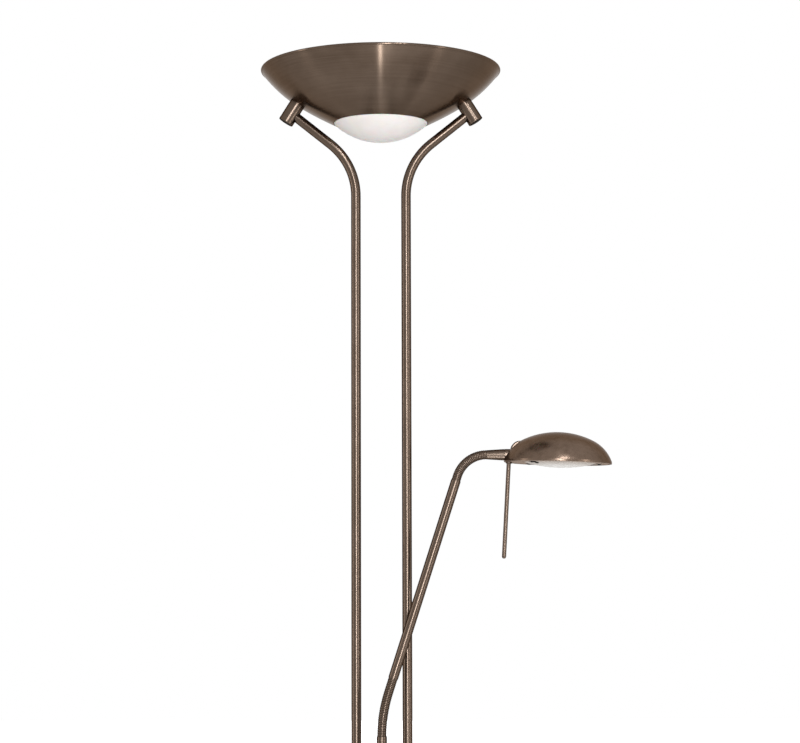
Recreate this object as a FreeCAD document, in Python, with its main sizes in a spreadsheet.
import FreeCAD, Part
import math
import os

import Sketcher
from FreeCAD import Placement, Rotation, Vector

# A floor lamp on two upright tubes: an uplighter bowl on top, and a reading light on a jointed arm that
# turns on a swivel in front of the tubes. Millimetres, +Z up, origin at the centre of the base's underside,
# +X to the side that the reading arm leans to, -Y to the front.

ORIGIN = Vector(0, 0, 0)
UP = Vector(0, 0, 1)
SIDE_AXIS = Vector(0, 1, 0)

# ---------------------------------------------------------------------------------------------------------
# Driving dimensions: alias, value, what it is
# ---------------------------------------------------------------------------------------------------------
DRIVING_SIZES = [
    # base
    ("base_radius", 125, "outer radius of the spun base cover"),
    ("base_edge_height", 12, "upright edge of the cover above the pad"),
    ("base_edge_round", 6, "radius between the cover's edge and its top"),
    ("base_rise", 9, "rise of the cover's crown"),
    ("base_flat_radius", 48, "flat middle of the cover"),
    ("base_wall", 1.2, "sheet of the base cover"),
    ("pad_thickness", 2, "felt pad under the base"),
    ("pad_inset", 3, "pad edge in from the cover's edge"),
    ("weight_inset", 11, "weight's edge in from the cover's edge"),
    ("weight_thickness", 15, "cast iron weight"),
    ("nut_recess_depth", 7, "recess for each nut in the weight's underside"),
    ("nut_recess_radius", 13, "recess for each nut"),
    ("lead_channel_width", 9, "channel for the lead in the weight"),
    ("gland_radius", 4.2, "gland's neck through the cover's edge"),
    ("gland_flange_radius", 5.4, "gland's flange outside the cover"),
    ("gland_bore_radius", 3.2, "gland's bore for the lead"),
    ("gland_length", 9, "gland from flange to inner end"),
    # upright tubes
    ("pole_spacing", 62.5, "between the axes of the two uprights"),
    ("pole_radius", 6, "outer radius of the uprights"),
    ("pole_wall", 1, "wall of the uprights"),
    ("nipple_gap", 0.1, "between a threaded nipple and what it passes through"),
    ("nipple_wall", 1.4, "wall of a threaded nipple"),
    ("nipple_reach", 24, "how far a nipple stands in a tube"),
    ("nipple_tail", 5, "nipple below its nut's seat"),
    ("nut_height", 4, "hexagon nut on a base nipple"),
    ("nut_flats", 14, "hexagon nut across its flats"),
    ("collar_radius", 11, "collar at the foot of each upright"),
    ("collar_height", 7, "collar at the foot of each upright"),
    ("collar_gap", 0.15, "between collar and tube"),
    ("pole_bend_radius", 84, "centre line of the bend at the top"),
    ("pole_bend_angle", 51.4, "turn of the upright at the top"),
    # dimmer housing
    ("housing_bottom", 880, "underside of the dimmer housing above the floor"),
    ("housing_height", 68, "dimmer housing"),
    ("housing_half_width", 50, "dimmer housing from the middle to a side"),
    ("housing_front_depth", 40, "from the uprights' axes to the front face"),
    ("housing_rear_depth", 10, "from the uprights' axes to the split line"),
    ("housing_round", 9, "upright front edges of the housing"),
    ("housing_wall", 2.5, "wall of the housing"),
    ("back_plate", 3, "thickness of the rear cover"),
    ("pole_hole_gap", 0.25, "around a tube where it enters the housing"),
    ("bridge_height", 12, "bar that ties the uprights together"),
    ("bridge_depth", 15, "bar that ties the uprights together"),
    ("bridge_end", 8, "bar beyond the axis of each upright"),
    ("boss_radius", 3.2, "screw boss in the housing"),
    ("boss_inset", 6, "boss axis in from the housing's side, top and bottom"),
    ("screw_radius", 1.5, "housing screw"),
    ("screw_head_radius", 2.8, "housing screw's head"),
    ("screw_head_height", 1.6, "housing screw's head"),
    ("screw_length", 22, "housing screw under its head"),
    # dimmers and knobs
    ("knob_offset", 25, "knob axis from the lamp's middle"),
    ("knob_height", 32, "knob axis above the housing's underside"),
    ("dimmer_width", 22, "dimmer's case"),
    ("dimmer_depth", 20, "dimmer's case"),
    ("dimmer_height", 24, "dimmer's case"),
    ("bush_radius", 3.8, "threaded bush of the dimmer"),
    ("shaft_radius", 3, "dimmer's shaft"),
    ("shaft_gap", 0.05, "running gap around a turning shaft"),
    ("shaft_length", 14, "dimmer's shaft from its case to its end"),
    ("bush_nut_radius", 6, "nut that holds the dimmer"),
    ("bush_nut_height", 2, "nut that holds the dimmer"),
    ("knob_radius", 10, "turning knob"),
    ("knob_length", 13, "turning knob"),
    ("knob_gap", 0.6, "behind the knob, to the nut"),
    ("knob_flute_radius", 1.1, "flute round the knob's grip"),
    ("knob_flutes", 16, "flutes round the knob"),
    ("knob_brow", 2.6, "plain end of the knob in front of its flutes"),
    # arm swivel
    ("arm_forward", 22, "reading arm's plane in front of the uprights' axes"),
    ("swivel_radius", 6.25, "swivel stub above its flange"),
    ("swivel_flange_radius", 9, "flange of the swivel stub"),
    ("swivel_flange_height", 3, "flange of the swivel stub"),
    ("swivel_top", 27.2, "top of the stub above the housing, where the flexible hose starts"),
    ("swivel_shaft_radius", 5, "turning shaft in its bush"),
    ("swivel_bore_radius", 3.5, "way for the leads through the stub"),
    ("swivel_bush_radius", 8, "brass bush in the housing's top"),
    ("swivel_bush_flange", 10, "flange radius of the brass bush"),
    ("swivel_bush_lip", 1.8, "flange thickness of the brass bush"),
    ("swivel_bush_depth", 12, "bush below the housing's top"),
    ("swivel_play", 0.3, "end play of the swivel above and below its bush"),
    ("swivel_nut_radius", 8, "retaining nut on the swivel's shaft"),
    ("swivel_nut_height", 6, "retaining nut on the swivel's shaft"),
    # reading arm
    ("hose_crest_radius", 5.65, "crest of the flexible hose's ribs"),
    ("hose_root_radius", 5.05, "root between the ribs"),
    ("hose_bore_radius", 3.2, "bore of the flexible hose"),
    ("rib_pitch", 2.1, "from one rib to the next"),
    ("lower_hose_radius", 171, "bend radius of the lower hose"),
    ("lower_hose_tail", 18, "straight end of the lower hose"),
    ("arm_lean", 17.9, "lean of the arm from upright"),
    ("arm_tube_radius", 6, "arm tube"),
    ("arm_tube_length", 252, "arm tube"),
    ("upper_hose_lead", 5.6, "straight start of the upper hose"),
    ("upper_hose_radius", 37.6, "bend radius of the upper hose"),
    ("ferrule_length", 22, "tapered ferrule behind the head"),
    ("ferrule_small_radius", 5.65, "ferrule at the hose"),
    ("ferrule_large_radius", 7, "ferrule at the head"),
    ("ferrule_nose", 6.8, "ferrule inside the shade's rear hole"),
    ("ferrule_groove", 0.5, "groove between the ferrule and its nose"),
    ("spigot_radius", 4, "spigot that the head rolls on"),
    ("spigot_length", 34, "spigot from the ferrule's taper to its end"),
    ("spigot_nut_radius", 5.3, "nut on the spigot"),
    ("spigot_nut_height", 4, "nut on the spigot"),
    # reading head
    ("head_forward", 65.3, "from the ferrule's taper to the shade's axis"),
    ("head_drop", 10.5, "shade's rim below the ferrule's axis"),
    ("head_tilt", 1.6, "tilt of the shade from level"),
    ("shade_radius", 66, "reading shade at its rim"),
    ("shade_crown", 35.5, "dome above the rim band"),
    ("shade_side_radius", 46, "rounding of the dome's side"),
    ("shade_side_lean", 20, "inward lean of the dome's side where it leaves the band"),
    ("shade_band", 2.5, "upright band at the shade's rim"),
    ("shade_wall", 1.2, "sheet of the reading shade"),
    ("knuckle_radius", 11, "barrel on the shade's rear"),
    ("knuckle_width", 20, "barrel on the shade's rear"),
    ("knuckle_round", 1.5, "rounded edges of the barrel"),
    ("knuckle_rise", 5.6, "barrel's axis above the ferrule's"),
    ("knuckle_forward", 18.5, "barrel's axis from the ferrule's taper"),
    ("seat_gap", 0.15, "between the shade and what is let into it"),
    ("ferrule_hole_gap", 0.3, "round the ferrule's nose in the shade"),
    ("lens_offset", 3, "lens axis forward of the shade's axis"),
    ("lens_radius", 44, "frosted lens in its ring"),
    ("lens_flange", 2.5, "lens flange beyond the ring's hole"),
    ("lens_bulge", 5.8, "lens below its rim"),
    ("lens_thickness", 2, "frosted lens"),
    ("ring_thickness", 1, "flat ring round the lens"),
    ("ring_recess", 0.4, "ring above the shade's rim"),
    ("ring_gap", 0.3, "round the lens, and round the ring"),
    ("reflector_radius", 28, "reflector dish"),
    ("reflector_crown", 22, "reflector dish above its rim"),
    ("reflector_side_radius", 11, "rounding of the reflector's side"),
    ("reflector_lift", 5, "reflector's rim above the shade's rim"),
    ("stud_radius", 2, "stud between reflector and shade"),
    ("stud_head_radius", 3.2, "stud above the reflector"),
    ("reflector_wall", 0.8, "sheet of the reflector"),
    ("reflector_flange", 2, "reflector's flat flange"),
    ("clip_angle", 140, "side clips from the front clip"),
    ("clip_length", 13, "lens clip"),
    ("clip_width", 5, "lens clip"),
    ("clip_thickness", 0.6, "lens clip"),
    ("clip_screw_radius", 1.8, "screw head on a lens clip"),
    ("clip_screw_height", 1.2, "screw head on a lens clip"),
    ("holder_length", 10, "capsule lamp's holder"),
    ("holder_width", 14, "capsule lamp's holder"),
    ("holder_height", 14, "capsule lamp's holder"),
    ("holder_back", 8, "holder's rear face behind the shade's axis"),
    ("holder_lift", 8, "holder above the shade's rim"),
    ("capsule_radius", 5, "capsule lamp"),
    ("capsule_length", 20, "capsule lamp"),
    ("capsule_rise", 5, "capsule's axis above the holder's underside"),
    ("rod_radius", 2.6, "handle rod under the shade"),
    ("rod_length", 118, "handle rod below the shade's rim"),
    ("rod_inset", 6, "rod's axis in from the shade's edge"),
    ("rod_lean", 1.7, "rod's lean back from the shade's axis"),
    ("rod_chamfer", 0.9, "chamfer at the rod's end"),
    ("rod_collar_radius", 3.6, "collar under the ring"),
    ("rod_collar_height", 2.4, "collar under the ring"),
    # bowl
    ("lamp_height", 1800, "rim of the bowl above the floor"),
    ("bowl_radius", 150, "bowl at its rim"),
    ("bowl_bead", 1.6, "rolled bead on the bowl's rim"),
    ("bowl_wall", 1.2, "sheet of the bowl"),
    ("seat_radius", 104.5, "bracket's seat on the bowl, from the lamp's axis"),
    ("seat_drop", 42.8, "bracket's seat below the rim"),
    ("seat_slope", 32, "slope of the bowl's wall at the bracket"),
    ("opening_radius", 59, "hole in the bowl's bottom"),
    ("opening_drop", 67.8, "hole in the bowl's bottom below the rim"),
    ("bracket_radius", 9.7, "cylinder between arm and bowl"),
    ("bracket_length", 27.5, "cylinder between arm and bowl"),
    ("bracket_round", 0.8, "rounded lower edge of the bracket"),
    ("socket_depth", 14, "upright's end below the bowl, along the bracket"),
    ("socket_gap", 0.05, "round the upright's end in the bracket"),
    ("bracket_screw_radius", 2.5, "screw from the bowl into the bracket"),
    ("bracket_screw_grip", 5.5, "screw inside the bracket"),
    ("bracket_screw_head", 5, "radius of the domed screw head"),
    ("washer_radius", 8, "washer inside the bowl"),
    ("washer_thickness", 1, "washer inside the bowl"),
    ("washer_lift", 0.2, "middle of the washer off the hollow wall"),
    # uplighter lamp and glass
    ("glass_gap", 0.8, "between the glass and the bowl's opening"),
    ("glass_depth", 22.6, "glass dome below its neck"),
    ("glass_thickness", 3, "frosted glass"),
    ("glass_neck", 4, "glass neck up to its flange"),
    ("glass_seat_rise", 0.23, "glass flange above the bowl's wall"),
    ("glass_flange", 5, "glass flange beyond its neck"),
    ("glass_clip_width", 8, "clip on the glass flange"),
    ("glass_clip_length", 11.2, "clip on the glass flange"),
    ("glass_clip_thickness", 0.8, "clip on the glass flange"),
    ("glass_clip_gap", 0.11, "clip's outer corners short of the bowl's wall"),
    ("lamp_bar_width", 20, "folded bar under the lamp"),
    ("lamp_bar_thickness", 1.5, "folded bar under the lamp"),
    ("lamp_bar_lift", 0.12, "bar's corners above the bowl's wall"),
    ("lamp_bar_half", 76, "bar from the middle to its end"),
    ("lamp_contact", 57.2, "holder's contact from the middle"),
    ("lamp_holder_length", 14, "ceramic lampholder along the lamp"),
    ("lamp_holder_width", 16, "ceramic lampholder"),
    ("lamp_holder_height", 20, "ceramic lampholder"),
    ("halogen_radius", 5, "double ended lamp"),
    ("halogen_cap_radius", 6, "ceramic caps of the lamp"),
    ("halogen_cap_length", 12, "ceramic caps of the lamp"),
    ("halogen_rise", 13, "lamp's axis above its bar"),
    ("halogen_end_gap", 0.2, "between each lamp end and its holder"),
]


class Size:
    """A number that remembers the sheet expression it comes from."""

    def __init__(self, value, text):
        self.value = float(value)
        self.text = text

    def __add__(self, other):
        other = as_size(other)
        return Size(self.value + other.value, f"({self.text} + {other.text})")

    def __sub__(self, other):
        other = as_size(other)
        return Size(self.value - other.value, f"({self.text} - {other.text})")

    def __mul__(self, other):
        other = as_size(other)
        return Size(self.value * other.value, f"({self.text} * {other.text})")

    def __truediv__(self, other):
        other = as_size(other)
        return Size(self.value / other.value, f"({self.text} / {other.text})")

    def __neg__(self):
        return Size(-self.value, f"(0 - {self.text})")

    def __radd__(self, other):
        return as_size(other) + self

    def __rsub__(self, other):
        return as_size(other) - self

    def __rmul__(self, other):
        return as_size(other) * self


def as_size(number):
    return number if isinstance(number, Size) else Size(number, f"({float(number)})")


def cosine(angle):
    return Size(math.cos(math.radians(angle.value)), f"cos({angle.text})")


def sine(angle):
    return Size(math.sin(math.radians(angle.value)), f"sin({angle.text})")


def tangent(angle):
    return Size(math.tan(math.radians(angle.value)), f"tan({angle.text})")


def root(size):
    return Size(math.sqrt(size.value), f"sqrt({size.text})")


doc = FreeCAD.newDocument("torchiere_floor_lamp")
sheet = doc.addObject("Spreadsheet::Sheet", "Sizes")
dim = {}
for row, (alias, value, meaning) in enumerate(DRIVING_SIZES, start=1):
    sheet.set(f"A{row}", meaning)
    sheet.set(f"B{row}", str(value))
    sheet.setAlias(f"B{row}", alias)
doc.recompute()
for alias, _, _ in DRIVING_SIZES:
    dim[alias] = Size(sheet.get(alias), f"Sizes.{alias}")


# ---------------------------------------------------------------------------------------------------------
# Ways of making a piece
# ---------------------------------------------------------------------------------------------------------
def bind(thing, **properties):
    """Tie a feature's properties to sizes."""
    for name, size in properties.items():
        thing.setExpression(name, as_size(size).text)


def place(thing, x=0, y=0, z=0, axis=None, angle=None):
    """Put a piece at (x, y, z), turned by an angle about an axis."""
    if axis is not None:
        thing.Placement = Placement(ORIGIN, Rotation(axis, as_size(angle).value))
        if isinstance(angle, Size):
            thing.setExpression("Placement.Rotation.Angle", f"{angle.text} * 1 deg")
    for letter, size in (("x", x), ("y", y), ("z", z)):
        thing.setExpression(f"Placement.Base.{letter}", as_size(size).text)
    return thing


def new_sketch(body, name, role):
    sketch = body.newObject("Sketcher::SketchObject", name)
    plane = next(feature for feature in body.Origin.OriginFeatures if feature.Role == role)
    sketch.AttachmentSupport = [(plane, "")]
    sketch.MapMode = "FlatFace"
    return sketch


def pin_point(sketch, geometry, end, x, y):
    """Hold one end of a sketch line or arc at (x, y)."""
    for kind, axis, size in (("DistanceX", -2, x), ("DistanceY", -1, y)):
        size = as_size(size)
        if size.value == 0:
            sketch.addConstraint(Sketcher.Constraint("PointOnObject", geometry, end, axis))
        else:
            datum = Sketcher.Constraint(kind, -1, 1, geometry, end, size.value)
            sketch.setExpression(f"Constraints[{sketch.addConstraint(datum)}]", size.text)


def draw_outline(sketch, corners, closed=True):
    """Lines and arcs through corners (x, y) or (x, y, radius). The radius bends the side that leaves the
    corner: positive with its centre on the left of the way, negative with its centre on the right."""
    count = len(corners) if closed else len(corners) - 1
    ends = []
    for index in range(count):
        corner, following = corners[index], corners[(index + 1) % len(corners)]
        start, stop = (Vector(as_size(c[0]).value, as_size(c[1]).value, 0) for c in (corner, following))
        if len(corner) == 2:
            side = sketch.addGeometry(Part.LineSegment(start, stop))
            ends.append((side, 1, 2))
            continue
        radius = as_size(corner[2])
        chord = stop - start
        left = Vector(-chord.y, chord.x, 0).normalize()
        reach = math.sqrt(max(radius.value**2 - (chord.Length / 2) ** 2, 0))
        centre = (start + stop) * 0.5 + left * math.copysign(reach, radius.value)
        first, last = (start, stop) if radius.value > 0 else (stop, start)
        angles = [math.atan2(p.y - centre.y, p.x - centre.x) for p in (first, last)]
        circle = Part.Circle(centre, UP, abs(radius.value))
        side = sketch.addGeometry(Part.ArcOfCircle(circle, *angles))
        size = radius if radius.value > 0 else -radius
        datum = Sketcher.Constraint("Radius", side, size.value)
        sketch.setExpression(f"Constraints[{sketch.addConstraint(datum)}]", size.text)
        ends.append((side, 1, 2) if radius.value > 0 else (side, 2, 1))
    for index, (side, start, stop) in enumerate(ends):
        pin_point(sketch, side, start, *corners[index][:2])
        if closed or index + 1 < count:
            following = ends[(index + 1) % len(ends)]
            sketch.addConstraint(Sketcher.Constraint("Coincident", side, stop, following[0], following[1]))
    if not closed:
        pin_point(sketch, ends[-1][0], ends[-1][2], *corners[-1][:2])


def draw_circle(sketch, x, y, radius):
    x, y, radius = as_size(x), as_size(y), as_size(radius)
    ring = sketch.addGeometry(Part.Circle(Vector(x.value, y.value, 0), UP, radius.value))
    pin_point(sketch, ring, 3, x, y)
    datum = Sketcher.Constraint("Radius", ring, radius.value)
    sketch.setExpression(f"Constraints[{sketch.addConstraint(datum)}]", radius.text)


def turned(label, corners):
    """A piece turned about Z from its half section, given as (radius, height) corners."""
    body = doc.addObject("PartDesign::Body", label)
    sketch = new_sketch(body, f"{label}_section", "XZ_Plane")
    draw_outline(sketch, corners)
    turn = body.newObject("PartDesign::Revolution", f"{label}_turn")
    turn.Profile = sketch
    turn.ReferenceAxis = (sketch, ["V_Axis"])
    turn.Angle = 360
    return body


def padded(label, role, height, corners, circles=()):
    """A plate: its outline, less any circles (x, y, radius), padded from an origin plane."""
    body = doc.addObject("PartDesign::Body", label)
    sketch = new_sketch(body, f"{label}_outline", role)
    draw_outline(sketch, corners)
    for circle in circles:
        draw_circle(sketch, *circle)
    pad = body.newObject("PartDesign::Pad", f"{label}_pad")
    pad.Profile = sketch
    bind(pad, Length=height)
    return body


def rectangle(left, right, low, high):
    return [(left, low), (right, low), (right, high), (left, high)]


def cylinder(label, radius, height, **where):
    piece = doc.addObject("Part::Cylinder", label)
    bind(piece, Radius=radius, Height=height)
    return place(piece, **where)


def block(label, length, width, height, **where):
    piece = doc.addObject("Part::Box", label)
    bind(piece, Length=length, Width=width, Height=height)
    return place(piece, **where)


HALF_SIDE = as_size(30)  # half of the angle that one side of a hexagon spans


def hexagon(label, flats, height, **where):
    piece = doc.addObject("Part::Prism", label)
    piece.Polygon = 6
    bind(piece, Circumradius=flats / (2 * cosine(HALF_SIDE)), Height=height)
    return place(piece, **where)


def group(label, pieces):
    together = doc.addObject("Part::Compound", label)
    together.Links = pieces
    return together


def cut(label, base, tools):
    tool = tools[0] if len(tools) == 1 else group(f"{label}_tools", tools)
    result = doc.addObject("Part::Cut", label)
    result.Base = base
    result.Tool = tool
    return result


def tube(label, outer, inner, height, **where):
    """A straight round tube along its own Z."""
    ring = turned(label, [(inner, 0), (outer, 0), (outer, height), (inner, height)])
    return place(ring, **where)


def screw(label, shank_radius, length, head_radius, head_height, **where):
    """A screw with a domed head: its seat at z = 0, head up, shank down."""
    dome = (head_radius * head_radius + head_height * head_height) / (2 * head_height)
    corners = [
        (0, -length),
        (shank_radius, -length),
        (shank_radius, 0),
        (head_radius, 0, dome),
        (0, head_height),
    ]
    return place(turned(label, corners), **where)


def arc_radius(apart_x, apart_z, slope):
    """Radius of the arc over a chord (x, z) that leaves one end at a slope."""
    chord_squared = apart_x * apart_x + apart_z * apart_z
    return chord_squared / (2 * (apart_z * cosine(slope) - apart_x * sine(slope)))


def crown_radius(run, rise):
    """Radius of the arc that ends level after a run and a rise."""
    return (run * run + rise * rise) / (2 * rise)


SIDES = (("left", -1), ("right", 1))
pieces = {}


def keep(piece):
    """Count a finished piece among the lamp's sub-parts."""
    pieces[piece.Label] = piece
    return piece


# ---------------------------------------------------------------------------------------------------------
# Base: pad, weight, spun cover, gland, nipples, nuts, spacers and collars
# ---------------------------------------------------------------------------------------------------------
pole_x = dim["pole_spacing"] / 2
pole_bore = dim["pole_radius"] - dim["pole_wall"]
nipple_radius = pole_bore - dim["nipple_gap"]
nipple_bore = nipple_radius - dim["nipple_wall"]
nipple_hole = nipple_radius + 2 * dim["nipple_gap"]
weight_bottom = dim["pad_thickness"]
weight_top = weight_bottom + dim["weight_thickness"]
nut_seat = weight_bottom + dim["nut_recess_depth"]
cover_edge_top = dim["pad_thickness"] + dim["base_edge_height"]
cover_shoulder = cover_edge_top + dim["base_edge_round"]
base_top = cover_shoulder + dim["base_rise"]
cover_under_top = base_top - dim["base_wall"]
shoulder_radius = dim["base_radius"] - dim["base_edge_round"]

keep(cylinder("floor_pad", dim["base_radius"] - dim["pad_inset"], dim["pad_thickness"]))

weight_radius = dim["base_radius"] - dim["weight_inset"]
weight_disc = cylinder("weight_disc", weight_radius, dim["weight_thickness"], z=weight_bottom)
weight_tools = []
for side, sign in SIDES:
    weight_tools.append(
        cylinder(f"weight_hole_{side}", nipple_hole, 3 * dim["weight_thickness"], x=sign * pole_x)
    )
    weight_tools.append(
        cylinder(f"weight_recess_{side}", dim["nut_recess_radius"], nut_seat, x=sign * pole_x)
    )
weight_tools.append(
    block(
        "weight_channel",
        dim["lead_channel_width"],
        dim["base_radius"],
        weight_top - dim["base_wall"],
        x=dim["lead_channel_width"] / -2,
    )
)
weight_tools.append(
    block(
        "weight_cross_channel",
        dim["pole_spacing"],
        dim["lead_channel_width"],
        nut_seat,
        x=-pole_x,
        y=dim["lead_channel_width"] / -2,
    )
)
keep(cut("base_weight", weight_disc, weight_tools))

crown_run = shoulder_radius - dim["base_flat_radius"]
crown_arc = crown_radius(crown_run, dim["base_rise"])
inner_edge = dim["base_radius"] - dim["base_wall"]
inner_round = dim["base_edge_round"] - dim["base_wall"]
cover_shell = turned(
    "cover_shell",
    [
        (inner_edge, dim["pad_thickness"]),
        (dim["base_radius"], dim["pad_thickness"]),
        (dim["base_radius"], cover_edge_top, dim["base_edge_round"]),
        (shoulder_radius, cover_shoulder, crown_arc),
        (dim["base_flat_radius"], base_top),
        (0, base_top),
        (0, cover_under_top),
        (dim["base_flat_radius"], cover_under_top, -crown_arc),
        (shoulder_radius, cover_shoulder - dim["base_wall"], -inner_round),
        (inner_edge, cover_edge_top),
    ],
)
gland_height = dim["pad_thickness"] + dim["base_edge_height"] / 2
cover_tools = [
    cylinder(f"cover_hole_{side}", nipple_hole, 2 * base_top, x=sign * pole_x) for side, sign in SIDES
]
cover_tools.append(
    cylinder(
        "cover_gland_hole",
        dim["gland_radius"],
        dim["base_edge_round"],
        y=dim["base_radius"] + dim["base_wall"],
        z=gland_height,
        axis=Vector(1, 0, 0),
        angle=90,
    )
)
keep(cut("base_cover", cover_shell, cover_tools))

# the gland: flange outside the cover's edge, neck through it, and a bore for a lead
gland_front = dim["base_radius"] + dim["base_wall"]
keep(
    place(
        turned(
            "cord_gland",
            [
                (dim["gland_bore_radius"], 0),
                (dim["gland_flange_radius"], 0),
                (dim["gland_flange_radius"], dim["base_wall"]),
                (dim["gland_radius"], dim["base_wall"]),
                (dim["gland_radius"], dim["gland_length"]),
                (dim["gland_bore_radius"], dim["gland_length"]),
            ],
        ),
        y=gland_front,
        z=gland_height,
        axis=Vector(1, 0, 0),
        angle=90,
    )
)

nipple_start = nut_seat - dim["nipple_tail"]
nipple_length = base_top + dim["nipple_reach"] - nipple_start
keep(
    group(
        "base_nipples",
        [
            tube(
                f"base_nipple_{side}",
                nipple_radius,
                nipple_bore,
                nipple_length,
                x=sign * pole_x,
                z=nipple_start,
            )
            for side, sign in SIDES
        ],
    )
)
base_nuts = []
spacers = []
collars = []
for side, sign in SIDES:
    nut_form = hexagon(
        f"nut_form_{side}",
        dim["nut_flats"],
        dim["nut_height"],
        x=sign * pole_x,
        z=nut_seat - dim["nut_height"],
    )
    thread_radius = nipple_radius + dim["nipple_gap"] / 2
    nut_bore = cylinder(f"nut_bore_{side}", thread_radius, nut_seat, x=sign * pole_x)
    base_nuts.append(cut(f"base_nut_{side}", nut_form, [nut_bore]))
    spacers.append(
        tube(
            f"base_spacer_{side}",
            dim["nut_flats"] / 2,
            nipple_hole,
            cover_under_top - weight_top,
            x=sign * pole_x,
            z=weight_top,
        )
    )
    collar_bore = dim["pole_radius"] + dim["collar_gap"]
    shoulder = (dim["collar_radius"] - collar_bore) / 2
    collars.append(
        place(
            turned(
                f"pole_collar_{side}",
                [
                    (collar_bore, 0),
                    (dim["collar_radius"], 0),
                    (dim["collar_radius"], dim["collar_height"] - shoulder, shoulder),
                    (dim["collar_radius"] - shoulder, dim["collar_height"]),
                    (collar_bore, dim["collar_height"]),
                ],
            ),
            x=sign * pole_x,
            z=base_top,
        )
    )
keep(group("base_nuts", base_nuts))
keep(group("base_spacers", spacers))
keep(group("pole_collars", collars))

# ---------------------------------------------------------------------------------------------------------
# Uprights and the bar that ties them
# ---------------------------------------------------------------------------------------------------------
housing_top = dim["housing_bottom"] + dim["housing_height"]
bridge_bottom = dim["housing_bottom"] + dim["housing_height"] / 2 - dim["bridge_height"] / 2
bridge_top = bridge_bottom + dim["bridge_height"]
lower_length = bridge_bottom - base_top
for side, sign in SIDES:
    foot = {"x": sign * pole_x, "z": base_top}
    keep(tube(f"pole_lower_{side}", dim["pole_radius"], pole_bore, lower_length, **foot))
keep(
    group(
        "bridge_nipples",
        [
            tube(
                f"bridge_nipple_{side}",
                nipple_radius,
                nipple_bore,
                dim["bridge_height"] + 2 * dim["nipple_reach"],
                x=sign * pole_x,
                z=bridge_bottom - dim["nipple_reach"],
            )
            for side, sign in SIDES
        ],
    )
)
bridge_half = pole_x + dim["bridge_end"]
bridge_outline = rectangle(-bridge_half, bridge_half, dim["bridge_depth"] / -2, dim["bridge_depth"] / 2)
bridge_holes = [(x, 0, nipple_hole) for x in (-pole_x, pole_x)]
bridge = padded("bridge_bar", "XY_Plane", dim["bridge_height"], bridge_outline, bridge_holes)
keep(place(bridge, z=bridge_bottom))

# where each upright ends: on the axis of the bracket that stands square to the bowl's wall
seat_height = dim["lamp_height"] - dim["seat_drop"]
bracket_out = sine(dim["seat_slope"])
bracket_down = cosine(dim["seat_slope"])
pole_end_x = dim["seat_radius"] + dim["socket_depth"] * bracket_out
pole_end_z = seat_height - dim["socket_depth"] * bracket_down
pole_run = pole_end_x - pole_x
bend_tangent = dim["pole_bend_radius"] * tangent(dim["pole_bend_angle"] / 2)
bend_corner = pole_end_z - pole_run / tangent(dim["pole_bend_angle"]) - bridge_top
bend_side = dim["pole_bend_radius"] * (1 - cosine(dim["pole_bend_angle"]))
bend_rise = dim["pole_bend_radius"] * sine(dim["pole_bend_angle"])
bend_start = bend_corner - bend_tangent


def bent_pole(label, sign):
    """The upper part of an upright: straight up, a bend outwards, and straight on to the bowl's bracket."""
    body = doc.addObject("PartDesign::Body", label)
    path = new_sketch(body, f"{label}_path", "XZ_Plane")
    draw_outline(
        path,
        [
            (0, 0),
            (0, bend_start, sign * -dim["pole_bend_radius"]),
            (sign * bend_side, bend_start + bend_rise),
            (sign * pole_run, pole_end_z - bridge_top),
        ],
        closed=False,
    )
    ring = new_sketch(body, f"{label}_ring", "XY_Plane")
    draw_circle(ring, 0, 0, dim["pole_radius"])
    draw_circle(ring, 0, 0, pole_bore)
    pipe = body.newObject("PartDesign::AdditivePipe", f"{label}_pipe")
    pipe.Profile = ring
    pipe.Spine = (path, ["Edge1", "Edge2", "Edge3"])
    return place(body, x=sign * pole_x, z=bridge_top)


for side, sign in SIDES:
    keep(bent_pole(f"pole_upper_{side}", sign))

# ---------------------------------------------------------------------------------------------------------
# Dimmer housing: front shell with bosses, rear cover and screws
# ---------------------------------------------------------------------------------------------------------
half_width = dim["housing_half_width"]
front_y = -dim["housing_front_depth"]
split_y = dim["housing_rear_depth"]
corner = dim["housing_round"]
shell_form = place(
    padded(
        "shell_form",
        "XY_Plane",
        dim["housing_height"],
        [
            (corner - half_width, front_y),
            (half_width - corner, front_y, corner),
            (half_width, front_y + corner),
            (half_width, split_y),
            (-half_width, split_y),
            (-half_width, front_y + corner, corner),
        ],
    ),
    z=dim["housing_bottom"],
)
wall = dim["housing_wall"]
hollow_half = half_width - wall
inner_corner = corner - wall
hollow_form = place(
    padded(
        "hollow_form",
        "XY_Plane",
        dim["housing_height"] - 2 * wall,
        [
            (inner_corner - hollow_half, front_y + wall),
            (hollow_half - inner_corner, front_y + wall, inner_corner),
            (hollow_half, front_y + wall + inner_corner),
            (hollow_half, split_y + wall),
            (-hollow_half, split_y + wall),
            (-hollow_half, front_y + wall + inner_corner, inner_corner),
        ],
    ),
    z=dim["housing_bottom"] + wall,
)
pole_hole = dim["pole_radius"] + dim["pole_hole_gap"]
knob_x = dim["knob_offset"]
knob_z = dim["housing_bottom"] + dim["knob_height"]
housing_tools = [hollow_form]
for side, sign in SIDES:
    housing_tools.append(
        cylinder(
            f"housing_pole_hole_{side}",
            pole_hole,
            2 * dim["housing_height"],
            x=sign * pole_x,
            z=bridge_bottom - dim["housing_height"],
        )
    )
    housing_tools.append(
        cylinder(
            f"housing_knob_hole_{side}",
            dim["bush_radius"],
            dim["housing_front_depth"],
            x=sign * knob_x,
            z=knob_z,
            axis=Vector(1, 0, 0),
            angle=90,
        )
    )
housing_tools.append(
    cylinder(
        "housing_swivel_hole",
        dim["swivel_bush_radius"],
        dim["housing_height"],
        y=-dim["arm_forward"],
        z=bridge_top,
    )
)
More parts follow.
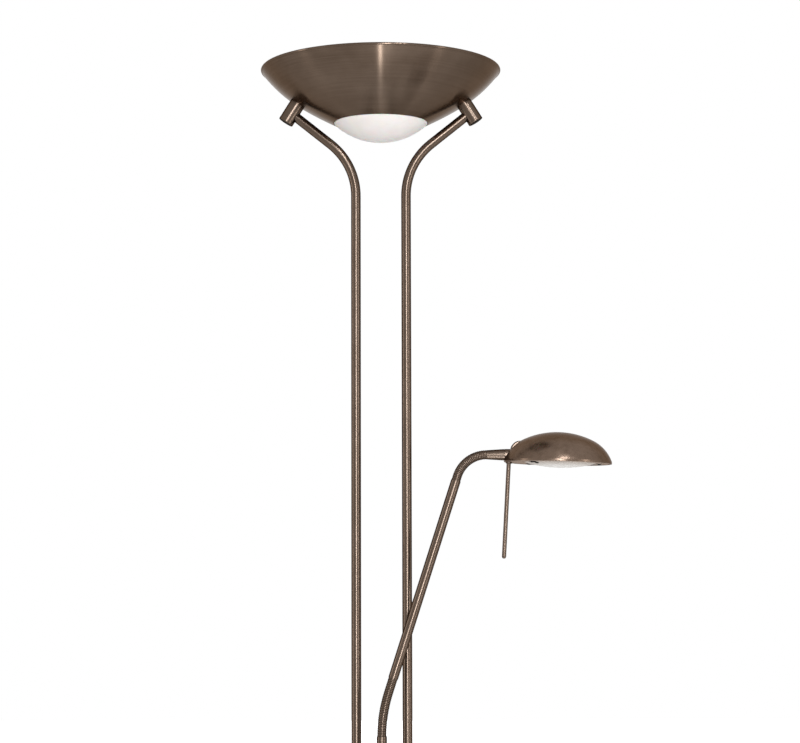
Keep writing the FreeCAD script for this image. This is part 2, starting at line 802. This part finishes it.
housing_skin = cut("housing_skin", shell_form, housing_tools)

FORWARD = {"axis": Vector(1, 0, 0), "angle": 90}  # turns a piece's own Z to the front
BACKWARD = {"axis": Vector(1, 0, 0), "angle": -90}  # and to the rear

boss_x = half_width - dim["boss_inset"]
boss_heights = (("low", dim["boss_inset"]), ("high", dim["housing_height"] - dim["boss_inset"]))
boss_depth = dim["housing_front_depth"] + dim["housing_rear_depth"] - wall
boss_bore = dim["screw_radius"] + dim["nipple_gap"]
rear_y = split_y + dim["back_plate"]
bosses = []
screws = []
plate_holes = []
for side, sign in SIDES:
    for level, above in boss_heights:
        spot = {"x": sign * boss_x, "z": dim["housing_bottom"] + above}
        boss = f"boss_{level}_{side}"
        bosses.append(tube(boss, dim["boss_radius"], boss_bore, boss_depth, y=split_y, **spot, **FORWARD))
        screws.append(
            screw(
                f"housing_screw_{level}_{side}",
                dim["screw_radius"],
                dim["screw_length"],
                dim["screw_head_radius"],
                dim["screw_head_height"],
                y=rear_y,
                **spot,
                **BACKWARD,
            )
        )
        plate_holes.append((sign * boss_x, above, boss_bore))
shell = doc.addObject("Part::MultiFuse", "housing_front")
shell.Shapes = [housing_skin] + bosses
keep(shell)
keep(
    place(
        padded(
            "housing_back",
            "XZ_Plane",
            dim["back_plate"],
            [
                (wall - half_width, 0),
                (half_width - wall, 0, wall),
                (half_width, wall),
                (half_width, dim["housing_height"] - wall, wall),
                (half_width - wall, dim["housing_height"]),
                (wall - half_width, dim["housing_height"], wall),
                (-half_width, dim["housing_height"] - wall),
                (-half_width, wall, wall),
            ],
            plate_holes,
        ),
        y=rear_y,
        z=dim["housing_bottom"],
    )
)
keep(group("housing_screws", screws))

# ---------------------------------------------------------------------------------------------------------
# Dimmers, their nuts and shafts, and the two turning knobs
# ---------------------------------------------------------------------------------------------------------
dimmer_face = front_y + wall
shaft_bore = dim["shaft_radius"] + dim["shaft_gap"]
shaft_start = dimmer_face + dim["dimmer_depth"] / 2
knob_rear = front_y - dim["bush_nut_height"] - dim["knob_gap"]
bush_length = wall + dim["bush_nut_height"]
shaft_end = dimmer_face - dim["shaft_length"]
bush_nuts = []


def make_knob(label):
    """A knob turned in one piece: a rounded cap with flutes round its grip, bored for the shaft."""
    length = dim["knob_length"]
    edge = dim["knob_flute_radius"]
    radius = dim["knob_radius"]
    blind = knob_rear - shaft_end
    body = turned(
        label,
        [
            (dim["shaft_radius"], 0),
            (radius, 0),
            (radius, length - edge, edge),
            (radius - edge, length),
            (0, length),
            (0, blind),
            (dim["shaft_radius"], blind),
        ],
    )
    doc.recompute()
    flute = new_sketch(body, f"{label}_flute", "XY_Plane")
    draw_circle(flute, radius + edge / 2, 0, edge)
    groove = body.newObject("PartDesign::Pocket", f"{label}_groove")
    groove.Profile = flute
    groove.Reversed = True
    bind(groove, Length=length - dim["knob_brow"])
    doc.recompute()
    flutes = body.newObject("PartDesign::PolarPattern", f"{label}_flutes")
    flutes.Originals = [groove]
    flutes.Axis = (flute, ["N_Axis"])
    flutes.Angle = 360
    bind(flutes, Occurrences=dim["knob_flutes"])
    body.Tip = flutes
    return body


for side, sign in SIDES:
    centre = {"x": sign * knob_x, "z": knob_z}
    case = block(
        f"dimmer_case_{side}",
        dim["dimmer_width"],
        dim["dimmer_depth"],
        dim["dimmer_height"],
        x=sign * knob_x - dim["dimmer_width"] / 2,
        y=dimmer_face,
        z=knob_z - dim["dimmer_height"] / 2,
    )
    bush_outer = dim["bush_radius"] - dim["shaft_gap"]
    bush = cylinder(f"dimmer_bush_{side}", bush_outer, bush_length, y=dimmer_face, **centre, **FORWARD)
    solid_dimmer = doc.addObject("Part::Fuse", f"dimmer_solid_{side}")
    solid_dimmer.Base = case
    solid_dimmer.Tool = bush
    bore_start = {"y": shaft_start, **centre, **FORWARD}
    bore = cylinder(f"dimmer_bore_{side}", shaft_bore, dim["dimmer_depth"], **bore_start)
    keep(cut(f"dimmer_{side}", solid_dimmer, [bore]))
    keep(
        cylinder(
            f"dimmer_shaft_{side}",
            dim["shaft_radius"],
            shaft_start - shaft_end - dim["swivel_play"],
            y=shaft_start - dim["swivel_play"],
            **centre,
            **FORWARD,
        )
    )
    nut_form = hexagon(
        f"dimmer_nut_form_{side}",
        2 * dim["bush_nut_radius"] * cosine(HALF_SIDE),
        dim["bush_nut_height"],
        y=front_y,
        **centre,
        **FORWARD,
    )
    nut_bore = cylinder(
        f"dimmer_nut_bore_{side}", dim["bush_radius"], 2 * dim["housing_front_depth"], **centre, **FORWARD
    )
    bush_nuts.append(cut(f"dimmer_nut_{side}", nut_form, [nut_bore]))
    keep(place(make_knob(f"knob_{side}"), y=knob_rear, **centre, **FORWARD))
keep(group("dimmer_nuts", bush_nuts))

# ---------------------------------------------------------------------------------------------------------
# Arm swivel: brass bush in the housing's top, turning stub and its retaining nut
# ---------------------------------------------------------------------------------------------------------
arm_y = -dim["arm_forward"]
swivel_hole = dim["swivel_shaft_radius"] + dim["shaft_gap"]
bush_bottom = housing_top - dim["swivel_bush_depth"]
bush_top = housing_top + dim["swivel_bush_lip"]
flange_bottom = bush_top + dim["swivel_play"]
swivel_nut_top = bush_bottom - dim["swivel_play"]
swivel_nut_bottom = swivel_nut_top - dim["swivel_nut_height"]
keep(
    place(
        turned(
            "swivel_bush",
            [
                (swivel_hole, bush_bottom),
                (dim["swivel_bush_radius"], bush_bottom),
                (dim["swivel_bush_radius"], housing_top),
                (dim["swivel_bush_flange"], housing_top),
                (dim["swivel_bush_flange"], bush_top),
                (swivel_hole, bush_top),
            ],
        ),
        y=arm_y,
    )
)
flange_top = flange_bottom + dim["swivel_flange_height"]
stub_top = housing_top + dim["swivel_top"]
flange_fillet = dim["swivel_flange_radius"] - dim["swivel_radius"]
keep(
    place(
        turned(
            "arm_swivel",
            [
                (dim["swivel_bore_radius"], swivel_nut_bottom),
                (dim["swivel_shaft_radius"], swivel_nut_bottom),
                (dim["swivel_shaft_radius"], flange_bottom),
                (dim["swivel_flange_radius"], flange_bottom),
                (dim["swivel_flange_radius"], flange_top, -flange_fillet),
                (dim["swivel_radius"], flange_top + flange_fillet),
                (dim["swivel_radius"], stub_top),
                (dim["swivel_bore_radius"], stub_top),
            ],
        ),
        y=arm_y,
    )
)
keep(
    tube(
        "swivel_nut",
        dim["swivel_nut_radius"],
        dim["swivel_shaft_radius"],
        dim["swivel_nut_height"],
        y=arm_y,
        z=swivel_nut_bottom,
    )
)


# ---------------------------------------------------------------------------------------------------------
# Reading arm: ribbed hoses, tube and ferrule
# ---------------------------------------------------------------------------------------------------------
def ribbed_hose(label, lead, bend_radius, turn, tail, **where):
    """A flexible hose that starts upwards: a straight lead, a bend towards +X and a straight tail. Its ribs
    are a ruled loft through four circles each, and its bore is cut along the same way."""
    arc = math.radians(turn.value) * bend_radius.value
    length = lead + arc + tail
    side = Vector(1, 0, 0)

    def frame_at(way):
        """The place and heading after a length of the hose."""
        bent = min(max(way - lead, 0), arc) / bend_radius.value
        place_x = bend_radius.value * (1 - math.cos(bent))
        place_z = min(way, lead) + bend_radius.value * math.sin(bent)
        beyond = max(way - lead - arc, 0)
        heading = side * math.sin(bent) + UP * math.cos(bent)
        spot = side * place_x + UP * place_z + heading * beyond
        return Placement(spot, Rotation(SIDE_AXIS, math.degrees(bent)))

    def ring_at(way, radius):
        ring = Part.makeCircle(radius)
        ring.rotate(ORIGIN, UP, 90)
        ring.Placement = frame_at(way) * ring.Placement
        return Part.Wire(ring)

    crest, valley = dim["hose_crest_radius"].value, dim["hose_root_radius"].value
    ribs = max(round(length / dim["rib_pitch"].value), 1)
    pitch = length / ribs
    rings = []
    for rib in range(ribs):
        for share, radius in ((0, valley), (0.2, crest), (0.6, crest), (0.8, valley)):
            rings.append(ring_at((rib + share) * pitch, radius))
    rings.append(ring_at(length, valley))
    hose = Part.makeLoft(rings, True, True)

    bore_radius = dim["hose_bore_radius"].value
    bend_centre = side * bend_radius.value + UP * lead
    bend_end = frame_at(lead + arc)
    stretches = [Part.Face(ring_at(lead, bore_radius)).revolve(bend_centre, SIDE_AXIS, turn.value)]
    if lead > 0:
        stretches.append(Part.Face(ring_at(0, bore_radius)).extrude(UP * lead))
    if tail > 0:
        heading = bend_end.Rotation.multVec(UP)
        stretches.append(Part.Face(ring_at(lead + arc, bore_radius)).extrude(heading * tail))
    for stretch in stretches:
        hose = hose.cut(stretch)
    piece = doc.addObject("Part::Feature", label)
    piece.Shape = hose
    print(f"{label}: {ribs} ribs, {length:.1f} mm long")
    return place(piece, **where)


lean = dim["arm_lean"]
level_turn = 90 - lean
lower_run = dim["lower_hose_radius"] * (1 - cosine(lean)) + dim["lower_hose_tail"] * sine(lean)
lower_rise = dim["lower_hose_radius"] * sine(lean) + dim["lower_hose_tail"] * cosine(lean)
arm_start = {"x": lower_run, "y": arm_y, "z": stub_top + lower_rise}
keep(
    ribbed_hose(
        "gooseneck_lower",
        0,
        dim["lower_hose_radius"],
        lean,
        dim["lower_hose_tail"].value,
        y=arm_y,
        z=stub_top,
    )
)
arm_bore = dim["arm_tube_radius"] - dim["pole_wall"]
keep(
    tube(
        "arm_tube",
        dim["arm_tube_radius"],
        arm_bore,
        dim["arm_tube_length"],
        axis=SIDE_AXIS,
        angle=lean,
        **arm_start,
    )
)
upper_x = arm_start["x"] + dim["arm_tube_length"] * sine(lean)
upper_z = arm_start["z"] + dim["arm_tube_length"] * cosine(lean)
keep(
    ribbed_hose(
        "gooseneck_upper",
        dim["upper_hose_lead"].value,
        dim["upper_hose_radius"],
        level_turn,
        0,
        x=upper_x,
        y=arm_y,
        z=upper_z,
        axis=SIDE_AXIS,
        angle=lean,
    )
)

# the ferrule is level: it starts at the upper hose's end, tapers out to the head and carries the spigot
ferrule_x = upper_x + dim["upper_hose_lead"] * sine(lean) + dim["upper_hose_radius"] * cosine(lean)
axis_z = upper_z + dim["upper_hose_lead"] * cosine(lean) + dim["upper_hose_radius"] * (1 - sine(lean))
LEVEL = {"axis": SIDE_AXIS, "angle": 90}  # turns a piece's own Z to +X
taper = dim["ferrule_length"]
groove = dim["ferrule_groove"]
nose_end = taper + dim["ferrule_nose"]
keep(
    place(
        turned(
            "head_ferrule",
            [
                (dim["swivel_bore_radius"] / 2, 0),
                (dim["ferrule_small_radius"], 0),
                (dim["ferrule_large_radius"], taper),
                (dim["ferrule_large_radius"] - groove, taper),
                (dim["ferrule_large_radius"] - groove, taper + groove),
                (dim["ferrule_large_radius"], taper + groove),
                (dim["ferrule_large_radius"], nose_end),
                (dim["spigot_radius"], nose_end),
                (dim["spigot_radius"], taper + dim["spigot_length"]),
                (dim["swivel_bore_radius"] / 2, taper + dim["spigot_length"]),
            ],
        ),
        x=ferrule_x,
        y=arm_y,
        z=axis_z,
        **LEVEL,
    )
)
knuckle_x = ferrule_x + taper + dim["knuckle_forward"]
spigot_nut_x = knuckle_x + dim["knuckle_radius"] + dim["swivel_play"]
keep(
    tube(
        "spigot_nut",
        dim["spigot_nut_radius"],
        dim["spigot_radius"],
        dim["spigot_nut_height"],
        x=spigot_nut_x,
        y=arm_y,
        z=axis_z,
        **LEVEL,
    )
)

# ---------------------------------------------------------------------------------------------------------
# Reading head: shade, knuckle, lens ring and lens, clips, reflector, capsule lamp and handle rod
# ---------------------------------------------------------------------------------------------------------
head_x = ferrule_x + taper + dim["head_forward"]
head_z = axis_z - dim["head_drop"]
tilt = dim["head_tilt"]


def on_head(piece, forward=0, up=0, sideways=0, lean_back=0):
    """Put a piece by its place in the shade: forward of its axis, above its rim, and to the rear side."""
    forward, up = as_size(forward), as_size(up)
    return place(
        piece,
        x=head_x + forward * cosine(tilt) + up * sine(tilt),
        y=arm_y + sideways,
        z=head_z - forward * sine(tilt) + up * cosine(tilt),
        axis=SIDE_AXIS,
        angle=tilt + lean_back,
    )


def dome(label, radius, crown, side, sheet_wall, band, side_lean, flange=0):
    """A spun dome of two tangent arcs over an upright band, with a flat flange if the band has one. Its side
    leans inwards where it leaves the band."""
    run = radius - side * cosine(side_lean)
    rise = crown + side * sine(side_lean)
    top_arc = (run * run + rise * rise - side * side) / (2 * (rise - side))
    between = top_arc - side

    def meeting(in_from_skin):
        reach = top_arc - in_from_skin
        return reach * run / between, band + crown - top_arc + reach * (top_arc - rise) / between

    outer_x, outer_z = meeting(0)
    inner_x, inner_z = meeting(sheet_wall)
    rim = [(radius, 0)] if as_size(flange).value == 0 else [(radius + flange, 0), (radius + flange, band)]
    return turned(
        label,
        [(radius - sheet_wall, 0)]
        + rim
        + [
            (radius, band, side),
            (outer_x, outer_z, top_arc),
            (0, band + crown),
            (0, band + crown - sheet_wall, -(top_arc - sheet_wall)),
            (inner_x, inner_z, -(side - sheet_wall)),
            (radius - sheet_wall * cosine(side_lean), band - sheet_wall * sine(side_lean)),
        ],
    )


shade_form = on_head(
    dome(
        "shade_form",
        dim["shade_radius"],
        dim["shade_crown"],
        dim["shade_side_radius"],
        dim["shade_wall"],
        dim["shade_band"],
        dim["shade_side_lean"],
    )
)


def barrel(label, more):
    """The knuckle's rounded barrel, made larger all round by a gap where it is let into the shade."""
    radius = dim["knuckle_radius"] + more
    width = dim["knuckle_width"] + 2 * more
    edge = dim["knuckle_round"]
    form = turned(
        label,
        [
            (0, 0),
            (radius - edge, 0, edge),
            (radius, edge),
            (radius, width - edge, edge),
            (radius - edge, width),
            (0, width),
        ],
    )
    return place(form, x=knuckle_x, y=arm_y + width / 2, z=axis_z + dim["knuckle_rise"], **FORWARD)


shade_edge = head_x - dim["shade_radius"]
ferrule_hole = cylinder(
    "shade_rear_hole",
    dim["ferrule_large_radius"] + dim["ferrule_hole_gap"],
    knuckle_x - shade_edge + dim["ferrule_nose"],
    x=shade_edge - dim["ferrule_nose"],
    y=arm_y,
    z=axis_z,
    **LEVEL,
)
keep(cut("reading_shade", shade_form, [ferrule_hole, barrel("shade_knuckle_hole", dim["seat_gap"])]))
knuckle_bore = cylinder(
    "knuckle_bore",
    dim["spigot_radius"] + dim["shaft_gap"],
    4 * dim["knuckle_radius"],
    x=knuckle_x - 2 * dim["knuckle_radius"],
    y=arm_y,
    z=axis_z,
    **LEVEL,
)
keep(cut("head_knuckle", barrel("knuckle_form", as_size(0)), [knuckle_bore]))

ring_bottom = dim["ring_recess"]
ring_top = ring_bottom + dim["ring_thickness"]
ring_radius = dim["shade_radius"] - dim["shade_wall"] - dim["ring_gap"]
rod_back = dim["rod_inset"] - dim["shade_radius"]
lens_hole = dim["lens_radius"] + dim["ring_gap"]
ring_disc = on_head(cylinder("ring_disc", ring_radius, dim["ring_thickness"]), up=ring_bottom)
rod_hole = dim["rod_radius"] + dim["ring_gap"]
hole_depth = 3 * dim["ring_thickness"]
ring_tools = [
    on_head(cylinder("ring_lens_hole", lens_hole, hole_depth), forward=dim["lens_offset"]),
    on_head(cylinder("ring_rod_hole", rod_hole, hole_depth), forward=rod_back),
]
keep(cut("shade_ring", ring_disc, ring_tools))

lens_bottom = ring_bottom - dim["lens_bulge"]
lens_inner = dim["lens_radius"] - dim["lens_thickness"]
lens_top = ring_top + dim["lens_thickness"]
lens_floor = lens_bottom + dim["lens_thickness"]
lens_arc = crown_radius(dim["lens_radius"], dim["lens_bulge"])
keep(
    on_head(
        turned(
            "reading_lens",
            [
                (0, lens_bottom, lens_arc),
                (dim["lens_radius"], ring_bottom),
                (dim["lens_radius"], ring_top),
                (dim["lens_radius"] + dim["lens_flange"], ring_top),
                (dim["lens_radius"] + dim["lens_flange"], lens_top),
                (lens_inner, lens_top, -crown_radius(lens_inner, lens_top - lens_floor)),
                (0, lens_floor),
            ],
        ),
        forward=dim["lens_offset"],
    )
)

clip_inner = lens_hole - dim["clip_length"] / 2
clip_outer = lens_hole + dim["clip_length"] / 2
lens_sag = (dim["lens_radius"] * dim["lens_radius"] - clip_inner * clip_inner) / (2 * lens_arc)
clip_drop = lens_sag + dim["ring_gap"] / 2
clips = []
clip_screws = []
for name, angle in (("front", as_size(0)), ("near", -dim["clip_angle"]), ("far", dim["clip_angle"])):
    clip_form = padded(
        f"lens_clip_form_{name}",
        "XZ_Plane",
        dim["clip_width"],
        [
            (clip_inner, -dim["clip_thickness"] - clip_drop),
            (lens_hole, -dim["clip_thickness"]),
            (clip_outer, -dim["clip_thickness"]),
            (clip_outer, 0),
            (lens_hole, 0),
            (clip_inner, -clip_drop),
        ],
    )
    place(clip_form, y=dim["clip_width"] / 2, z=ring_bottom)
    turned_clip = group(f"lens_clip_turned_{name}", [clip_form])
    place(turned_clip, x=dim["lens_offset"], axis=UP, angle=angle)
    clips.append(on_head(group(f"lens_clip_{name}", [turned_clip])))
    screw_reach = lens_hole + dim["clip_length"] / 4
    clip_screws.append(
        on_head(
            cylinder(f"lens_clip_screw_{name}", dim["clip_screw_radius"], dim["clip_screw_height"]),
            forward=dim["lens_offset"] + screw_reach * cosine(angle),
            up=ring_bottom - dim["clip_thickness"] - dim["clip_screw_height"],
            sideways=screw_reach * sine(angle),
        )
    )
keep(group("lens_clips", clips))
keep(group("lens_clip_screws", clip_screws))

# reflector under the dome, on a stud that also carries the capsule lamp's holder
reflector_form = on_head(
    dome(
        "reflector_form",
        dim["reflector_radius"],
        dim["reflector_crown"],
        dim["reflector_side_radius"],
        dim["reflector_wall"],
        dim["reflector_wall"],
        as_size(0),
        dim["reflector_flange"],
    ),
    up=dim["reflector_lift"],
)
reflector_top = dim["reflector_lift"] + dim["reflector_wall"] + dim["reflector_crown"]
stud_hole = on_head(
    cylinder("reflector_stud_hole", dim["stud_radius"] + dim["seat_gap"], dim["reflector_crown"]),
    up=reflector_top - dim["reflector_crown"] / 2,
)
keep(cut("reading_reflector", reflector_form, [stud_hole]))
shade_under = dim["shade_band"] + dim["shade_crown"] - dim["shade_wall"] - dim["shaft_gap"]
holder_top = dim["holder_lift"] + dim["holder_height"]
keep(
    on_head(
        turned(
            "reflector_stud",
            [
                (0, holder_top),
                (dim["stud_radius"], holder_top),
                (dim["stud_radius"], reflector_top),
                (dim["stud_head_radius"], reflector_top),
                (dim["stud_head_radius"], shade_under),
                (0, shade_under),
            ],
        )
    )
)
keep(
    on_head(
        block("capsule_holder", dim["holder_length"], dim["holder_width"], dim["holder_height"]),
        forward=-dim["holder_back"],
        up=dim["holder_lift"],
        sideways=dim["holder_width"] / -2,
    )
)
capsule_side = dim["capsule_length"] - dim["capsule_radius"]
keep(
    on_head(
        turned(
            "capsule_lamp",
            [
                (0, 0),
                (dim["capsule_radius"], 0),
                (dim["capsule_radius"], capsule_side, dim["capsule_radius"]),
                (0, dim["capsule_length"]),
            ],
        ),
        forward=dim["holder_length"] - dim["holder_back"],
        up=dim["holder_lift"] + dim["capsule_rise"],
        lean_back=LEVEL["angle"],
    )
)

# handle rod: riveted through the ring, with a collar under it
rod_bore = dim["rod_radius"] + dim["seat_gap"]
rod_end = -dim["rod_length"] - ring_top
keep(
    on_head(
        turned(
            "handle_rod",
            [
                (0, rod_end),
                (dim["rod_radius"] - dim["rod_chamfer"], rod_end),
                (dim["rod_radius"], rod_end + dim["rod_chamfer"]),
                (dim["rod_radius"], 0),
                (0, 0),
            ],
        ),
        forward=rod_back,
        up=ring_top,
        lean_back=dim["rod_lean"],
    )
)
keep(
    on_head(
        tube("handle_collar", dim["rod_collar_radius"], rod_bore, dim["rod_collar_height"]),
        forward=rod_back,
        up=ring_bottom - dim["rod_collar_height"],
    )
)

# ---------------------------------------------------------------------------------------------------------
# Bowl with its brackets and their screws
# ---------------------------------------------------------------------------------------------------------
slope = dim["seat_slope"]
bowl_wall = dim["bowl_wall"]
opening_z = dim["lamp_height"] - dim["opening_drop"]
bead = dim["bowl_bead"]
bead_x = dim["bowl_radius"] - bead
bead_z = dim["lamp_height"] - bead
lower_arc = arc_radius(dim["opening_radius"] - dim["seat_radius"], opening_z - seat_height, slope)
upper_arc = arc_radius(bead_x - dim["seat_radius"], bead_z - bead - seat_height, slope)
roll_end = as_size(45)  # how far inwards the bead is rolled past its lowest point
opening_cosine = cosine(slope) + (seat_height - opening_z) / lower_arc
outer_way = [
    (dim["opening_radius"], opening_z, lower_arc),
    (dim["seat_radius"], seat_height, upper_arc),
]
bowl_shell = turned(
    "bowl_shell",
    outer_way
    + [
        (bead_x, bead_z - bead, bead),
        (dim["bowl_radius"], bead_z, bead),
        (bead_x, dim["lamp_height"], bead),
        (bead_x - bead * cosine(roll_end), bead_z - bead * sine(roll_end), bowl_wall - upper_arc),
        (
            dim["seat_radius"] - bowl_wall * sine(slope),
            seat_height + bowl_wall * cosine(slope),
            bowl_wall - lower_arc,
        ),
        (dim["opening_radius"], opening_z + bowl_wall / opening_cosine),
    ],
)
bowl_form = turned(
    "bowl_form",
    outer_way
    + [(bead_x, bead_z - bead), (bead_x, dim["lamp_height"]), (0, dim["lamp_height"]), (0, opening_z)],
)


def on_bowl(piece, sign):
    """Put a piece square to the bowl's wall at a bracket's seat: its own Z points up and inwards."""
    seat_x = sign * dim["seat_radius"]
    return place(piece, x=seat_x, z=seat_height, axis=SIDE_AXIS, angle=-sign * slope)


# The inner face of the wall, from the opening to the brackets' seats, is part of a circle.
face_arc = lower_arc - bowl_wall
face_x = dim["seat_radius"] - lower_arc * sine(slope)
face_z = seat_height + lower_arc * cosine(slope)


def face_height(reach):
    """Height of the wall's inner face at a distance from the lamp's axis."""
    share = (reach - face_x) / face_arc
    return face_z - face_arc * root(1 - share * share)


def face_reach(height):
    """Distance of the wall's inner face from the lamp's axis at a height."""
    share = (face_z - height) / face_arc
    return face_x + face_arc * root(1 - share * share)


screw_gap = dim["bracket_screw_radius"] + dim["nipple_gap"]
bracket_grip = dim["bracket_screw_grip"]
bowl_holes = []
for side, sign in SIDES:
    bowl_hole = cylinder(f"bowl_screw_hole_{side}", screw_gap, 2 * bracket_grip, z=-bracket_grip)
    bowl_holes.append(on_bowl(group(f"bowl_screw_way_{side}", [bowl_hole]), sign))
keep(cut("bowl", bowl_shell, bowl_holes))

head_base = bowl_wall + dim["washer_lift"] + dim["washer_thickness"]
head_dome = crown_radius(dim["bracket_screw_head"], dim["bracket_screw_head"] / 2)
bracket_screws = []
for side, sign in SIDES:
    round_edge = dim["bracket_round"]
    bracket_form = on_bowl(
        turned(
            f"bracket_form_{side}",
            [
                (0, -dim["bracket_length"]),
                (dim["bracket_radius"] - round_edge, -dim["bracket_length"], round_edge),
                (dim["bracket_radius"], round_edge - dim["bracket_length"]),
                (dim["bracket_radius"], dim["bracket_radius"]),
                (0, dim["bracket_radius"]),
            ],
        ),
        sign,
    )
    socket = cylinder(
        f"bracket_socket_{side}",
        dim["pole_radius"] + dim["socket_gap"],
        2 * dim["bracket_radius"],
        x=sign * (pole_end_x - 2 * dim["bracket_radius"] * sine(dim["pole_bend_angle"])),
        z=pole_end_z - 2 * dim["bracket_radius"] * cosine(dim["pole_bend_angle"]),
        axis=SIDE_AXIS,
        angle=sign * dim["pole_bend_angle"],
    )
    hole_end = -bracket_grip - bowl_wall / 2
    screw_hole = cylinder(f"bracket_screw_bore_{side}", screw_gap, 2 * bracket_grip, z=hole_end)
    screw_way = on_bowl(group(f"bracket_screw_way_{side}", [screw_hole]), sign)
    keep(cut(f"bracket_{side}", bracket_form, [bowl_form, socket, screw_way]))
    bracket_screws.append(
        on_bowl(
            turned(
                f"bracket_screw_{side}",
                [
                    (0, -bracket_grip),
                    (dim["bracket_screw_radius"], -bracket_grip),
                    (dim["bracket_screw_radius"], head_base - dim["washer_thickness"]),
                    (dim["washer_radius"], head_base - dim["washer_thickness"]),
                    (dim["washer_radius"], head_base),
                    (dim["bracket_screw_head"], head_base, head_dome),
                    (0, head_base + dim["bracket_screw_head"] / 2),
                ],
            ),
            sign,
        )
    )
keep(group("bracket_screws", bracket_screws))

# ---------------------------------------------------------------------------------------------------------
# Uplighter: glass dome in the bowl's opening, its clips, and the lamp on its bar
# ---------------------------------------------------------------------------------------------------------
glass_radius = dim["opening_radius"] - dim["glass_gap"]
flange_radius = glass_radius + dim["glass_flange"]
glass_seat = face_height(flange_radius) + dim["glass_seat_rise"]
glass_top = glass_seat + dim["glass_thickness"]
glass_low = glass_seat - dim["glass_neck"]
glass_bottom = glass_low - dim["glass_depth"]
glass_inner = glass_radius - dim["glass_thickness"]
inner_depth = dim["glass_depth"] - dim["glass_thickness"]
keep(
    turned(
        "bowl_glass",
        [
            (0, glass_bottom, crown_radius(glass_radius, dim["glass_depth"])),
            (glass_radius, glass_low),
            (glass_radius, glass_seat),
            (flange_radius, glass_seat),
            (flange_radius, glass_top),
            (glass_inner, glass_top),
            (glass_inner, glass_low, -crown_radius(glass_inner, inner_depth)),
            (0, glass_bottom + dim["glass_thickness"]),
        ],
    )
)
clip_half = dim["glass_clip_width"] / 2
clip_corner = face_reach(glass_top) - dim["glass_clip_gap"]
clip_end = root(clip_corner * clip_corner - clip_half * clip_half)
glass_clips = []
for name, angle in (("rear", 90), ("front_left", 210), ("front_right", 330)):
    clip = block(
        f"glass_clip_form_{name}",
        dim["glass_clip_length"],
        dim["glass_clip_width"],
        dim["glass_clip_thickness"],
        x=clip_end - dim["glass_clip_length"],
        y=-clip_half,
        z=glass_top,
    )
    glass_clips.append(place(group(f"glass_clip_{name}", [clip]), axis=UP, angle=angle))
keep(group("glass_clips", glass_clips))

bar_half = dim["lamp_bar_half"]
bar_side = dim["lamp_bar_width"] / 2
bar_bottom = face_height(root(bar_half * bar_half + bar_side * bar_side)) + dim["lamp_bar_lift"]
bar_top = bar_bottom + dim["lamp_bar_thickness"]
keep(
    block(
        "lamp_bar",
        2 * bar_half,
        dim["lamp_bar_width"],
        dim["lamp_bar_thickness"],
        x=-bar_half,
        y=-bar_side,
        z=bar_bottom,
    )
)
lamp_holders = []
for side, sign in SIDES:
    lamp_holders.append(
        block(
            f"lamp_holder_{side}",
            dim["lamp_holder_length"],
            dim["lamp_holder_width"],
            dim["lamp_holder_height"],
            x=sign * (dim["lamp_contact"] + dim["lamp_holder_length"] / 2) - dim["lamp_holder_length"] / 2,
            y=dim["lamp_holder_width"] / -2,
            z=bar_top,
        )
    )
keep(group("lamp_holders", lamp_holders))
lamp_half = dim["lamp_contact"] - dim["halogen_end_gap"]
keep(
    place(
        turned(
            "halogen_lamp",
            [
                (0, 0),
                (dim["halogen_cap_radius"], 0),
                (dim["halogen_cap_radius"], dim["halogen_cap_length"]),
                (dim["halogen_radius"], dim["halogen_cap_length"]),
                (dim["halogen_radius"], 2 * lamp_half - dim["halogen_cap_length"]),
                (dim["halogen_cap_radius"], 2 * lamp_half - dim["halogen_cap_length"]),
                (dim["halogen_cap_radius"], 2 * lamp_half),
                (0, 2 * lamp_half),
            ],
        ),
        x=-lamp_half,
        z=bar_top + dim["halogen_rise"],
        **LEVEL,
    )
)

# ---------------------------------------------------------------------------------------------------------
# Check every object, then write one file per sub-part
# ---------------------------------------------------------------------------------------------------------
doc.recompute()
for thing in doc.Objects:
    if "Invalid" in thing.State or "Error" in thing.State:
        raise RuntimeError(f"{thing.Label} did not build: {thing.State}")
for label, piece in pieces.items():
    if piece.Shape.isNull() or not piece.Shape.isValid() or piece.Shape.Volume <= 0:
        raise RuntimeError(f"{label} has no valid solid")
os.makedirs("parts", exist_ok=True)
for label, piece in pieces.items():
    piece.Shape.exportStep(f"parts/{label}.step")
print(f"{len(pieces)} sub-parts written")
